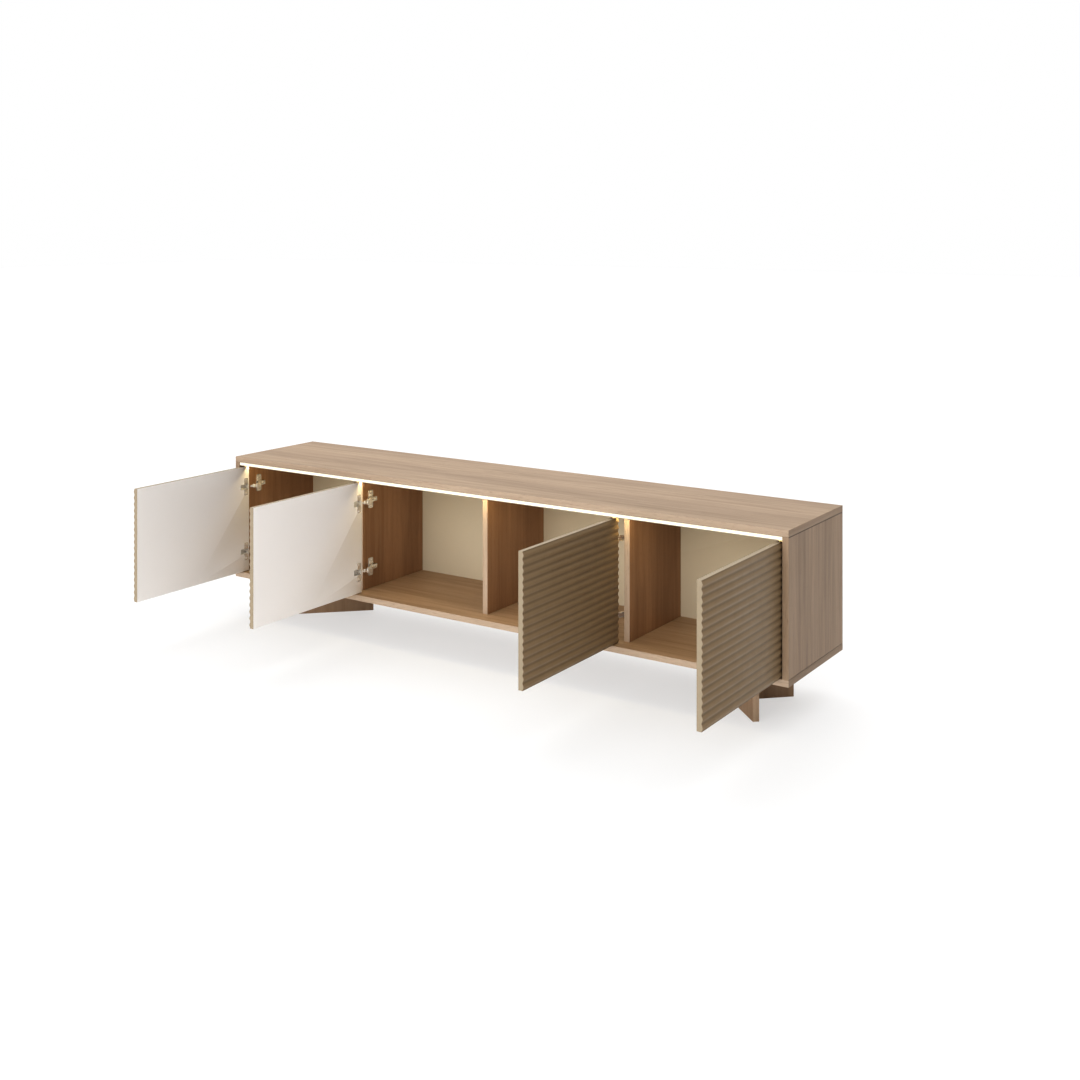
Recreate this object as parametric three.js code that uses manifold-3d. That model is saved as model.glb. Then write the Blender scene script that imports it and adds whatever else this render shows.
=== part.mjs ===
// A low media cabinet: a board carcass with four bays, four side-hung fluted doors on concealed hinges,
// a light strip under the front edge of the top board, and two board legs.
// Millimetres, +Z up, front towards -Y. The doors stand open at a right angle, which is the rest pose.
// The origin is on the floor, in the middle of the box that holds the cabinet and its open doors.
import * as THREE from "three";
import { mergeVertices } from "three/addons/utils/BufferGeometryUtils.js";
import Module from "manifold-3d";

const wasm = await Module();
wasm.setup();

// ---- carcass ----
const width = 2000;
const depth = 388;
const carcassHeight = 408;
const board = 18; // thickness of every carcass board
const legHeight = 125;
const partitionSetback = 54.5; // from the front plane of the boards to the partitions' front edges
const backSetback = 17.5; // from the boards' rear edges to the front face of the back panel
const backThickness = 3;
const grooveDepth = 6;
const grooveClearance = 0.3; // round the back panel, on each side
const stripReach = 16; // how far the joint strip covers each half of the back panel
const stripThickness = 1.6;

// ---- doors ----
const doorThickness = 16.3; // over the crests of the flutes
const fluteDepth = 3;
const fluteCount = 18;
const stepsPerFlute = 6;
const doorEndGap = 1.5; // closed outer door to its side panel
const doorMeetingGap = 2.5; // between two closed doors
const doorTopGap = 16; // above the doors, where the light is
const doorBottomGap = 2;
const doorPartitionGap = 1.8; // closed door to the partitions' front edges
const openDoorEnd = 28; // from the front plane to an open door's hinge-side end
const openDoorGap = 1.5; // open door's crests to the plane of the face that its hinges are screwed to

// ---- hinges ----
const hingeInset = 67.5; // from the door's top and bottom edges to the hinges' middles
const cupWidth = 34.5; // narrow slot-shaped cups, for a thin door
const cupHeight = 17.5;
const cupCorner = 2.5; // the cups' corner radius
const cupDepth = 8.5;
const cupWall = 0.8;
const cupEdge = 5; // from the door's hinge-side end to the cup
const pocketClearance = 0.3;
const flangeHeight = 58;
const flangeWidth = 17;
const flangeEdge = 6; // from the door's hinge-side end to the flange
const flangeThickness = 1.2;
const earThickness = 1.2;
const earHeight = 3; // above the door's inner face
const earRoot = 9.5; // from the door's hinge-side end to where the ears stand in the bowl
const earGap = 8.4; // between the two ears on the flange
const channelWidth = 14.4; // the arm's, over its side walls
const sheet = 1.2; // the arm's sheet
const noseLength = 3; // from the arm's pin to its front end
const pinRadius = 1.3;
const pinClearance = 0.3;
const eyeRadius = 2.6;
const linkWidth = 7;
const linkHalfThickness = 1.3;
const armPinSetback = 49.5; // from the front plane to the arm's pin
const crankStart = 66; // from the front plane
const crankEnd = 84;
const armEnd = 114;
const armFoot = 11.2; // the arm's rear stretch, above the mounting face
const plateStart = 79; // from the front plane
const plateLength = 37;
const plateThickness = 2.2;
const wingWidth = 24;
const wingHeight = 58;
const ribWidth = 11.2;
const ribGap = 0.3; // between the plate's rib and the arm on it

// ---- light ----
const lightSetback = 2; // from the front plane to the diffuser
const channelHeight = 11.5;
const channelDepth = 15;
const channelWall = 1.2;
const diffuserThickness = 2.4;
const lightEndGap = 0.5;
const stripHeight = 8; // the circuit strip's
const stripBoardThickness = 1.2;
const leadRadius = 1.5;
const leadInset = 28; // from the right side panel to the lead
const inletRadius = 5.5;
const inletLength = 15;
const inletFlangeRadius = 8;
const inletFlange = 2;
const inletDrop = 20; // from the top board to the inlet's axis

// ---- legs ----
const legBoard = 18;
const legReach = 176; // from the crossing of a leg's boards to each end
const legInset = 236.5; // from the cabinet's end to the crossing
const legSetback = 172; // from the front plane to the crossing
const bracketArm = 30;
const bracketLength = 40;
const bracketThickness = 2;
const bracketOffset = 90; // from the crossing to a bracket's middle
const turnedClearance = 0.3; // between pieces that stand at 45 degrees

// ---- derived sizes ----
const bottom = legHeight; // underside of the bottom board
const floor = bottom + board; // inside floor of the bays
const ceiling = bottom + carcassHeight - board;
const innerWidth = width - 2 * board;
const innerHeight = ceiling - floor;
const doorCount = 4;
const doorWidth =
  (innerWidth - 2 * doorEndGap - (doorCount - 1) * doorMeetingGap) / doorCount;
const doorBottom = floor + doorBottomGap;
const doorTop = ceiling - doorTopGap;
const doorHeight = doorTop - doorBottom;
const closedFace = partitionSetback - doorPartitionGap - doorThickness; // closed doors' crests
const frontY = openDoorEnd - doorWidth; // free ends of the open doors
const middleY = (frontY + depth) / 2;
const backFront = depth - backSetback;
const sideInner = width / 2 - board;
const partitionX = [1, 2, 3].map(
  (n) => -sideInner + doorEndGap + n * doorWidth + (n - 0.5) * doorMeetingGap,
);

// ---- solids ----
function solid(geometry) {
  const bare = geometry.index ? geometry.toNonIndexed() : geometry.clone();
  bare.deleteAttribute("normal");
  bare.deleteAttribute("uv");
  const merged = mergeVertices(bare, 1e-4);
  return new wasm.Manifold(
    new wasm.Mesh({
      numProp: 3,
      vertProperties: new Float32Array(merged.attributes.position.array),
      triVerts: new Uint32Array(merged.index.array),
    }),
  );
}

function geometryOf(body) {
  const mesh = body.getMesh();
  const geometry = new THREE.BufferGeometry();
  geometry.setAttribute("position", new THREE.BufferAttribute(mesh.vertProperties, 3));
  geometry.setIndex(new THREE.BufferAttribute(mesh.triVerts, 1));
  geometry.computeVertexNormals();
  return geometry;
}

function cut(geometry, ...tools) {
  let body = solid(geometry);
  for (const tool of tools) body = body.subtract(solid(tool));
  return geometryOf(body);
}

function join(geometry, ...others) {
  let body = solid(geometry);
  for (const other of others) body = body.add(solid(other));
  return geometryOf(body);
}

// A box between two corners.
function block([x0, y0, z0], [x1, y1, z1]) {
  const box = new THREE.BoxGeometry(x1 - x0, y1 - y0, z1 - z0);
  return box.translate((x0 + x1) / 2, (y0 + y1) / 2, (z0 + z1) / 2);
}

function outline(points) {
  return new THREE.Shape(points.map(([a, b]) => new THREE.Vector2(a, b)));
}

// An outline in the XY plane, drawn up from z0 to z1.
function prism(shape, z0, z1, curveSegments = 6) {
  const settings = { depth: z1 - z0, bevelEnabled: false, curveSegments };
  return new THREE.ExtrudeGeometry(shape, settings).translate(0, 0, z0);
}

// An outline of (y, z) points, drawn along X from x0 to x1.
function rail(points, x0, x1) {
  const settings = { depth: x1 - x0, bevelEnabled: false };
  const drawn = new THREE.ExtrudeGeometry(outline(points), settings);
  const axes = new THREE.Matrix4().makeBasis(
    new THREE.Vector3(0, 1, 0),
    new THREE.Vector3(0, 0, 1),
    new THREE.Vector3(1, 0, 0),
  );
  return drawn.applyMatrix4(axes).translate(x0, 0, 0);
}

// ---- materials ----
function finish(color, roughness, metalness = 0) {
  return new THREE.MeshStandardMaterial({ color, roughness, metalness });
}
const oak = finish(0xc3aa94, 0.55);
const doorFront = finish(0x8a7a60, 0.5);
const cream = finish(0xcfc0a4, 0.6);
const nickel = finish(0xc9c5bd, 0.3, 1);
const aluminium = finish(0xb9bcbf, 0.35, 1);
const milky = finish(0xfff6e0, 0.4);
const blackPlastic = finish(0x202020, 0.5);
const whitePlastic = finish(0xe8e8e4, 0.5);
const steel = finish(0xa8aaac, 0.4, 1);

const cabinet = new THREE.Group();
cabinet.position.y = -middleY; // everything below is measured from the boards' front plane

function add(name, geometry, material, parent = cabinet) {
  const mesh = new THREE.Mesh(geometry, material);
  mesh.name = name;
  parent.add(mesh);
}

// ---- carcass boards ----
// The back panel stands in a stopped groove all round.
const grooveFront = backFront - grooveClearance;
const grooveRear = backFront + backThickness + grooveClearance;
const grooveTool = block(
  [-sideInner - grooveDepth, grooveFront, floor - grooveDepth],
  [sideInner + grooveDepth, grooveRear, ceiling + grooveDepth],
);

function carcassBoards() {
  const half = width / 2;
  add("bottom_board", cut(block([-half, 0, bottom], [half, depth, floor]), grooveTool), oak);
  add("top_board", cut(block([-half, 0, ceiling], [half, depth, ceiling + board]), grooveTool), oak);
  const leftBlank = block([-half, 0, floor], [-sideInner, depth, ceiling]);
  add("left_side", cut(leftBlank, grooveTool), oak);
  const rightBlank = block([sideInner, 0, floor], [half, depth, ceiling]);
  add("right_side", cut(rightBlank, grooveTool), oak);
  const names = ["left", "middle", "right"];
  names.forEach((name, i) => {
    const low = [partitionX[i] - board / 2, partitionSetback, floor];
    const high = [partitionX[i] + board / 2, backFront, ceiling];
    add("partition_" + name, block(low, high), oak);
  });
}

// Two halves of thin board, with a flat strip over the joint, behind the middle partition.
function backPanel() {
  const reach = grooveDepth - grooveClearance;
  const low = floor - reach;
  const high = ceiling + reach;
  const rear = backFront + backThickness;
  const seam = partitionX[1];
  const left = block([-sideInner - reach, backFront, low], [seam - grooveClearance, rear, high]);
  add("back_panel_left", left, cream);
  const right = block([seam + grooveClearance, backFront, low], [sideInner + reach, rear, high]);
  const hole = new THREE.CylinderGeometry(
    inletRadius + grooveClearance,
    inletRadius + grooveClearance,
    4 * backThickness,
    24,
  ).translate(sideInner - leadInset, backFront, ceiling - inletDrop);
  add("back_panel_right", cut(right, hole), cream);
  const strip = block(
    [seam - stripReach, rear, floor + grooveClearance],
    [seam + stripReach, rear + stripThickness, ceiling - grooveClearance],
  );
  add("back_joint_strip", strip, whitePlastic);
}

// ---- doors and hinges ----
// Each door is built on a mounting face: x is measured inwards from that face, and the whole group is
// mirrored for the doors that hang on their right.
const doorNodes = [
  { face: -sideInner, turn: 1, end: doorEndGap },
  { face: partitionX[0] + board / 2, turn: 1, end: (doorMeetingGap - board) / 2 },
  { face: partitionX[2] - board / 2, turn: -1, end: (doorMeetingGap - board) / 2 },
  { face: sideInner, turn: -1, end: doorEndGap },
];
const innerFace = openDoorGap + doorThickness;
const cupY = openDoorEnd - cupEdge - cupWidth / 2;
const hingeZ = [doorBottom + hingeInset, doorTop - hingeInset];

// A round-cornered block whose outline lies across X, from x0 to x1. grow widens it all round.
function cell(grow, x0, x1, z) {
  const radius = cupCorner + grow;
  const y = cupWidth / 2 - cupCorner;
  const up = cupHeight / 2 - cupCorner;
  const shape = new THREE.Shape();
  shape.absarc(up, y, radius, 0, Math.PI / 2, false);
  shape.absarc(-up, y, radius, Math.PI / 2, Math.PI, false);
  shape.absarc(-up, -y, radius, Math.PI, 1.5 * Math.PI, false);
  shape.absarc(up, -y, radius, 1.5 * Math.PI, 2 * Math.PI, false);
  const settings = { depth: x1 - x0, bevelEnabled: false, curveSegments: 4 };
  const axes = new THREE.Matrix4().makeBasis(
    new THREE.Vector3(0, 0, -1),
    new THREE.Vector3(0, 1, 0),
    new THREE.Vector3(1, 0, 0),
  );
  return new THREE.ExtrudeGeometry(shape, settings).applyMatrix4(axes).translate(x0, cupY, z);
}

// The outer face is a row of whole waves, lowest at the door's top and bottom edges.
function doorBoard() {
  const points = [];
  const steps = fluteCount * stepsPerFlute;
  for (let i = 0; i <= steps; i++) {
    const wave = (1 + Math.cos((2 * Math.PI * i) / stepsPerFlute)) / 2;
    points.push([openDoorGap + fluteDepth * wave, doorBottom + (doorHeight * i) / steps]);
  }
  points.push([innerFace, doorTop], [innerFace, doorBottom]);
  const settings = { depth: doorWidth, bevelEnabled: false };
  const drawn = new THREE.ExtrudeGeometry(outline(points), settings);
  const axes = new THREE.Matrix4().makeBasis(
    new THREE.Vector3(1, 0, 0),
    new THREE.Vector3(0, 0, 1),
    new THREE.Vector3(0, -1, 0),
  );
  const slab = drawn.applyMatrix4(axes).translate(0, openDoorEnd, 0);
  const pocket = cupDepth + pocketClearance;
  const pockets = hingeZ.map((z) => cell(pocketClearance, innerFace - pocket, innerFace + 1, z));
  return cut(slab, ...pockets);
}

// The cup sits in the door. Its flange lies on the door's inner face and carries two ears.
function hingeCup(z, earStart) {
  const edgeY = openDoorEnd - flangeEdge;
  const flange = block(
    [innerFace, edgeY - flangeWidth, z - flangeHeight / 2],
    [innerFace + flangeThickness, edgeY, z + flangeHeight / 2],
  );
  const bowl = cell(0, innerFace - cupDepth, innerFace + flangeThickness, z);
  const hollow = cell(-cupWall, innerFace - cupDepth + cupWall, innerFace + 9, z);
  const bowlFloor = innerFace - cupDepth + cupWall / 2;
  const root = Math.max(earStart + 0.5, earRoot); // the ears stand on the bowl's floor
  const earOutline = outline([
    [innerFace + 0.4, openDoorEnd - earStart],
    [innerFace + earHeight, openDoorEnd - earStart],
    [innerFace + earHeight, openDoorEnd - root - 1.5],
    [bowlFloor, openDoorEnd - root - 6],
    [bowlFloor, openDoorEnd - root],
    [innerFace + 0.4, openDoorEnd - root],
  ].reverse());
  const ears = [earGap / 2, -earGap / 2 - earThickness].map((offset) =>
    prism(earOutline, z + offset, z + offset + earThickness),
  );
  const body = solid(flange).add(solid(bowl)).subtract(solid(hollow));
  return geometryOf(ears.reduce((sum, ear) => sum.add(solid(ear)), body));
}

// A channel, open towards the mounting face, with a pin across its front end.
function hingeArm(z, pinX) {
  const far = pinX + noseLength + sheet;
  const near = pinX - noseLength;
  const nose = armPinSetback - noseLength;
  const foot = plateThickness + ribGap;
  const walls = outline([
    [near, nose],
    [far, nose],
    [far, crankStart],
    [armFoot, crankEnd],
    [armFoot, armEnd],
    [foot, armEnd],
    [foot, crankEnd - 6],
    [near - 6, crankStart],
  ]);
  const inside = outline([
    [near - 40, nose - 1],
    [far - sheet, nose - 1],
    [far - sheet, crankStart],
    [armFoot - sheet, crankEnd],
    [armFoot - sheet, armEnd + 1],
    [near - 40, armEnd + 1],
  ]);
  const halfWidth = channelWidth / 2;
  const hollow = halfWidth - sheet;
  const pin = new THREE.CylinderGeometry(pinRadius, pinRadius, channelWidth - sheet, 16)
    .rotateX(Math.PI / 2)
    .translate(pinX, armPinSetback, z);
  const channel = solid(prism(walls, z - halfWidth, z + halfWidth));
  const opened = channel.subtract(solid(prism(inside, z - hollow, z + hollow)));
  return geometryOf(opened.add(solid(pin)));
}

// A flat lever on the arm's pin. Its free end is the linkage's open pivot, at the ears of the flange.
function hingeLink(z, { pinX, linkLength, linkAngle }) {
  const start = Math.asin(linkHalfThickness / eyeRadius);
  const shape = new THREE.Shape();
  shape.absarc(0, 0, eyeRadius, start, 2 * Math.PI - start, false);
  shape.absarc(linkLength, 0, linkHalfThickness, -Math.PI / 2, Math.PI / 2, false);
  const eye = new THREE.Path();
  eye.absarc(0, 0, pinRadius + pinClearance, 0, 2 * Math.PI, true);
  shape.holes.push(eye);
  const lever = prism(shape, z - linkWidth / 2, z + linkWidth / 2, 10);
  return lever.rotateZ(THREE.MathUtils.degToRad(linkAngle)).translate(pinX, armPinSetback, 0);
}

// A cross of flat steel with a raised rib that the arm is screwed to.
function mountingPlate(z) {
  const rear = plateStart + plateLength;
  const spine = block([0, plateStart, z - channelWidth / 2], [plateThickness, rear, z + channelWidth / 2]);
  const wings = block(
    [0, plateStart + 1, z - wingHeight / 2],
    [plateThickness, plateStart + 1 + wingWidth, z + wingHeight / 2],
  );
  const rib = block(
    [0, plateStart + 7, z - ribWidth / 2],
    [armFoot - sheet - ribGap, rear - 2, z + ribWidth / 2],
  );
  return join(spine, wings, rib);
}

// The link turns from linkAngle through the mounting face's side to its closed direction, as the door
// closes. Outer doors lap nothing, and inner doors lap half a partition, so their pins sit nearer.
const outerHinge = { pinX: 34, linkLength: 21, linkAngle: 240, earStart: 1.5 };
const innerHinge = { pinX: 25, linkLength: 19, linkAngle: 252, earStart: 9 };

function doorSets() {
  doorNodes.forEach(({ face, turn, end }, i) => {
    const place = new THREE.Group();
    place.position.x = face;
    place.scale.x = turn;
    cabinet.add(place);
    const number = i + 1;
    add("door_" + number, doorBoard(), doorFront, place);
    const kind = end > 0 ? outerHinge : innerHinge;
    ["lower", "upper"].forEach((level, j) => {
      const z = hingeZ[j];
      const tail = "_" + number + "_" + level;
      add("hinge_cup" + tail, hingeCup(z, kind.earStart), nickel, place);
      add("hinge_arm" + tail, hingeArm(z, kind.pinX), nickel, place);
      add("hinge_link" + tail, hingeLink(z, kind), nickel, place);
      add("mounting_plate" + tail, mountingPlate(z), nickel, place);
    });
  });
}

// ---- light ----
function light() {
  const x1 = sideInner - lightEndGap;
  const front = lightSetback + diffuserThickness;
  const rear = lightSetback + channelDepth;
  const low = ceiling - channelHeight;
  const channel = [
    [lightSetback, low],
    [rear, low],
    [rear, ceiling],
    [lightSetback, ceiling],
    [lightSetback, ceiling - channelWall],
    [rear - channelWall, ceiling - channelWall],
    [rear - channelWall, low + channelWall],
    [lightSetback, low + channelWall],
  ];
  add("light_profile", rail(channel, -x1, x1), aluminium);
  const clipLow = low + channelWall + 0.3;
  const clipHigh = ceiling - channelWall - 0.3;
  const clipEnd = front + 3.4;
  const diffuser = [
    [lightSetback, clipLow],
    [clipEnd, clipLow],
    [clipEnd, clipLow + 1],
    [front, clipLow + 1],
    [front, clipHigh - 1],
    [clipEnd, clipHigh - 1],
    [clipEnd, clipHigh],
    [lightSetback, clipHigh],
  ];
  add("light_diffuser", rail(diffuser, -x1, x1), milky);
  const middle = ceiling - channelHeight / 2;
  const seat = rear - channelWall - 0.1;
  const strip = block(
    [-x1 + 4, seat - stripBoardThickness, middle - stripHeight / 2],
    [x1 - 4, seat, middle + stripHeight / 2],
  );
  add("light_strip", strip, whitePlastic);

  // The lead runs back under the top board, then down into the inlet.
  const leadX = sideInner - leadInset;
  const leadZ = ceiling - leadRadius - 0.3;
  const inletZ = ceiling - inletDrop;
  const inletFront = backFront + backThickness - inletLength;
  const dropStart = inletFront - 60;
  const route = new THREE.CurvePath();
  const start = new THREE.Vector3(leadX, rear + 0.3, leadZ);
  const bend = new THREE.Vector3(leadX, dropStart, leadZ);
  const finishPoint = new THREE.Vector3(leadX, inletFront - 0.3, inletZ);
  route.add(new THREE.LineCurve3(start, bend));
  route.add(
    new THREE.CubicBezierCurve3(
      bend,
      new THREE.Vector3(leadX, dropStart + 28, leadZ),
      new THREE.Vector3(leadX, inletFront - 28, inletZ),
      finishPoint,
    ),
  );
  const section = new THREE.Shape();
  section.absarc(0, 0, leadRadius, 0, 2 * Math.PI, false);
  const settings = { steps: 40, bevelEnabled: false, extrudePath: route, curveSegments: 4 };
  add("light_lead", new THREE.ExtrudeGeometry(section, settings), blackPlastic);

  // A barrel with a flange behind the back panel and a blind socket in its rear end.
  const flangeFront = inletLength;
  const profile = [
    [0, 0],
    [inletRadius, 0],
    [inletRadius, flangeFront],
    [inletFlangeRadius, flangeFront],
    [inletFlangeRadius, flangeFront + inletFlange],
    [2.8, flangeFront + inletFlange],
    [2.8, flangeFront - 7],
    [0, flangeFront - 7],
  ].map(([r, y]) => new THREE.Vector2(r, y));
  const inlet = new THREE.LatheGeometry(profile, 24).translate(leadX, inletFront, inletZ);
  add("light_inlet", inlet, blackPlastic);
}

// ---- legs ----
// Each leg is a long board on the diagonal, from the front outer end to the rear inner end, and a short
// board that meets its middle from the rear outer end. Two angle brackets hold it to the bottom board.
function legs() {
  for (const [name, turn] of [["left", -1], ["right", 1]]) {
    const place = new THREE.Group();
    place.position.set(turn * (width / 2 - legInset), legSetback, 0);
    place.scale.x = turn;
    cabinet.add(place);
    const turned = new THREE.Group();
    turned.rotation.z = -Math.PI / 4; // x now runs to the front outer end, y to the rear outer end
    place.add(turned);
    const half = legBoard / 2;
    const long = block([-legReach, -half, 0], [legReach, half, legHeight]);
    add("leg_" + name + "_long_board", long, oak, turned);
    const short = block([-half, half + turnedClearance, 0], [half, legReach, legHeight]);
    add("leg_" + name + "_short_board", short, oak, turned);
    const angle = outline([
      [0, 0],
      [bracketArm, 0],
      [bracketArm, -bracketThickness],
      [bracketThickness, -bracketThickness],
      [bracketThickness, -bracketArm],
      [0, -bracketArm],
    ].reverse());
    const settings = { depth: bracketLength, bevelEnabled: false };
    const bracket = new THREE.ExtrudeGeometry(angle, settings)
      .translate(0, 0, -bracketLength / 2)
      .rotateX(Math.PI / 2);
    const onLong = bracket.clone().rotateZ(Math.PI / 2);
    onLong.translate(bracketOffset, half + turnedClearance, legHeight);
    add("leg_" + name + "_front_bracket", onLong, steel, turned);
    const onShort = bracket.clone().rotateZ(Math.PI);
    onShort.translate(-half - turnedClearance, bracketOffset, legHeight);
    add("leg_" + name + "_rear_bracket", onShort, steel, turned);
  }
}

carcassBoards();
backPanel();
doorSets();
light();
legs();

export default cabinet;
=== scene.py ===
# A low oak media cabinet with four fluted doors standing open, a light strip and two board legs.
# The sections follow the cabinet as it is put together, and end with the room it is looked at in.
import math

import bpy
from mathutils import Matrix, Vector


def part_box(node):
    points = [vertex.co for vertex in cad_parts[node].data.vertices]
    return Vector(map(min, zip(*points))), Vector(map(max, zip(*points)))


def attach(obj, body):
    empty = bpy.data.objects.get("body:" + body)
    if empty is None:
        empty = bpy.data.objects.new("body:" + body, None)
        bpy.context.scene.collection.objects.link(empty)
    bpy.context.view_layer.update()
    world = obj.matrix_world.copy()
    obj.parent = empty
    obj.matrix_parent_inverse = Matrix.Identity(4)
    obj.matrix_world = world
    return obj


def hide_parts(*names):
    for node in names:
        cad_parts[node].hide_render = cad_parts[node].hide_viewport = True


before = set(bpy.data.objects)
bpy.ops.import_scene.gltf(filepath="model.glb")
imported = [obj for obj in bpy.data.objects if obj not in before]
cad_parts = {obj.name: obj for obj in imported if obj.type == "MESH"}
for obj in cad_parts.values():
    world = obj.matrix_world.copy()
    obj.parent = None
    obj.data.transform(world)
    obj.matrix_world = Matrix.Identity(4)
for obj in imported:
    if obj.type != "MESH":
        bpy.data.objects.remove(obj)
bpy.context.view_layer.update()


# ---------------------------------------------------------------- carcass boards
# The carcass is 18 mm oak-faced board. The top and bottom lie over and under the sides and the three
# partitions, which are held by hidden dowels, and every cut edge wears a strip of thin oak edging.
def wood_grain_group():
    """Long streaks, growth lines and short pores, all along the X of the vector that comes in."""
    group = bpy.data.node_groups.new("wood_grain", "ShaderNodeTree")
    face = group.interface
    face.new_socket("Vector", in_out="INPUT", socket_type="NodeSocketVector")
    for name in ("Light", "Dark", "Pore"):
        face.new_socket(name, in_out="INPUT", socket_type="NodeSocketColor")
    face.new_socket("Figure", in_out="INPUT", socket_type="NodeSocketFloat").default_value = 0.5
    face.new_socket("Color", in_out="OUTPUT", socket_type="NodeSocketColor")
    face.new_socket("Roughness", in_out="OUTPUT", socket_type="NodeSocketFloat")
    face.new_socket("Height", in_out="OUTPUT", socket_type="NodeSocketFloat")
    nodes, links = group.nodes, group.links
    inlet = nodes.new("NodeGroupInput")
    outlet = nodes.new("NodeGroupOutput")

    def stretched(scale, size, detail, distortion=0.0, roughness=0.5):
        mapping = nodes.new("ShaderNodeMapping")
        mapping.inputs["Scale"].default_value = scale
        noise = nodes.new("ShaderNodeTexNoise")
        noise.inputs["Scale"].default_value = size
        noise.inputs["Detail"].default_value = detail
        noise.inputs["Roughness"].default_value = roughness
        noise.inputs["Distortion"].default_value = distortion
        links.new(inlet.outputs["Vector"], mapping.inputs["Vector"])
        links.new(mapping.outputs["Vector"], noise.inputs["Vector"])
        return noise.outputs["Fac"]

    def sum_of(a, b, kind="ADD", clamp=False):
        node = nodes.new("ShaderNodeMath")
        node.operation = kind
        node.use_clamp = clamp
        for socket, value in zip(node.inputs, (a, b)):
            if isinstance(value, (int, float)):
                socket.default_value = value
            else:
                links.new(value, socket)
        return node.outputs[0]

    def ramp(value, low, high):
        node = nodes.new("ShaderNodeMapRange")
        node.interpolation_type = "SMOOTHSTEP"
        node.inputs["From Min"].default_value = low
        node.inputs["From Max"].default_value = high
        links.new(value, node.inputs["Value"])
        return node.outputs["Result"]

    broad = stretched((0.9, 9.0, 9.0), 1.0, 3.0, 0.4)
    streak = stretched((2.2, 60.0, 60.0), 1.0, 5.0, 0.3, 0.6)
    rings = sum_of(sum_of(broad, 70.0, "MULTIPLY"), 0.0, "SINE")
    rings = ramp(rings, -0.9, 1.0)
    pores = ramp(stretched((38.0, 900.0, 900.0), 1.0, 2.0), 0.60, 0.74)
    tone = sum_of(ramp(broad, 0.34, 0.66), inlet.outputs["Figure"], "MULTIPLY")
    tone = sum_of(tone, sum_of(ramp(streak, 0.3, 0.72), 0.42, "MULTIPLY"))
    tone = sum_of(tone, sum_of(rings, 0.13, "MULTIPLY"), clamp=True)
    body = nodes.new("ShaderNodeMix")
    body.data_type = "RGBA"
    links.new(tone, body.inputs["Factor"])
    links.new(inlet.outputs["Light"], body.inputs["A"])
    links.new(inlet.outputs["Dark"], body.inputs["B"])
    pored = nodes.new("ShaderNodeMix")
    pored.data_type = "RGBA"
    links.new(sum_of(pores, 0.5, "MULTIPLY"), pored.inputs["Factor"])
    links.new(body.outputs["Result"], pored.inputs["A"])
    links.new(inlet.outputs["Pore"], pored.inputs["B"])
    links.new(pored.outputs["Result"], outlet.inputs["Color"])
    links.new(sum_of(sum_of(streak, 0.14, "MULTIPLY"), 0.42), outlet.inputs["Roughness"])
    links.new(sum_of(streak, sum_of(pores, -0.8, "MULTIPLY")), outlet.inputs["Height"])
    return group


wood_grain = wood_grain_group()


def wood(name, along, light, dark, pore, figure=0.5, bump=0.25, shift=(0, 0, 0)):
    """A matte wood finish whose grain runs along the named axis."""
    material = bpy.data.materials.new(name)
    material.use_nodes = True
    nodes, links = material.node_tree.nodes, material.node_tree.links
    shader = nodes["Principled BSDF"]
    shader.inputs["Specular IOR Level"].default_value = 0.25
    where = nodes.new("ShaderNodeTexCoord")
    turn = nodes.new("ShaderNodeMapping")
    turn.inputs["Rotation"].default_value = {
        "X": (0, 0, 0),
        "Y": (0, 0, -math.pi / 2),
        "Z": (0, math.pi / 2, 0),
    }[along]
    turn.inputs["Location"].default_value = shift
    grain = nodes.new("ShaderNodeGroup")
    grain.node_tree = wood_grain
    grain.inputs["Light"].default_value = (*light, 1)
    grain.inputs["Dark"].default_value = (*dark, 1)
    grain.inputs["Pore"].default_value = (*pore, 1)
    grain.inputs["Figure"].default_value = figure
    bumps = nodes.new("ShaderNodeBump")
    bumps.inputs["Strength"].default_value = bump
    bumps.inputs["Distance"].default_value = 0.0002
    links.new(where.outputs["Object"], turn.inputs["Vector"])
    links.new(turn.outputs["Vector"], grain.inputs["Vector"])
    links.new(grain.outputs["Color"], shader.inputs["Base Color"])
    links.new(grain.outputs["Roughness"], shader.inputs["Roughness"])
    links.new(grain.outputs["Height"], bumps.inputs["Height"])
    links.new(bumps.outputs["Normal"], shader.inputs["Normal"])
    return material


oak_tones = ((0.415, 0.300, 0.203), (0.265, 0.183, 0.118), (0.13, 0.08, 0.045))
edging_tones = ((0.50, 0.385, 0.285), (0.37, 0.27, 0.19), (0.2, 0.13, 0.085))
# Painted shade: a darker, warmer copy of the oak for the faces inside the bays.
shaded_tones = ((0.39, 0.222, 0.118), (0.25, 0.135, 0.068), (0.11, 0.055, 0.026))
# Painted shade: a darker copy of the oak for the sides' outer faces and the boards' end edges, because less
# light reaches the cabinet's ends than its top.
shaded_end_tones = ((0.30, 0.208, 0.136), (0.182, 0.122, 0.075), (0.09, 0.056, 0.03))
# Painted light: a lighter copy of the oak for the top face of the bottom board, where light falls into the
# bays.
lit_floor_tones = ((0.47, 0.32, 0.198), (0.31, 0.20, 0.116), (0.14, 0.08, 0.04))
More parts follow.
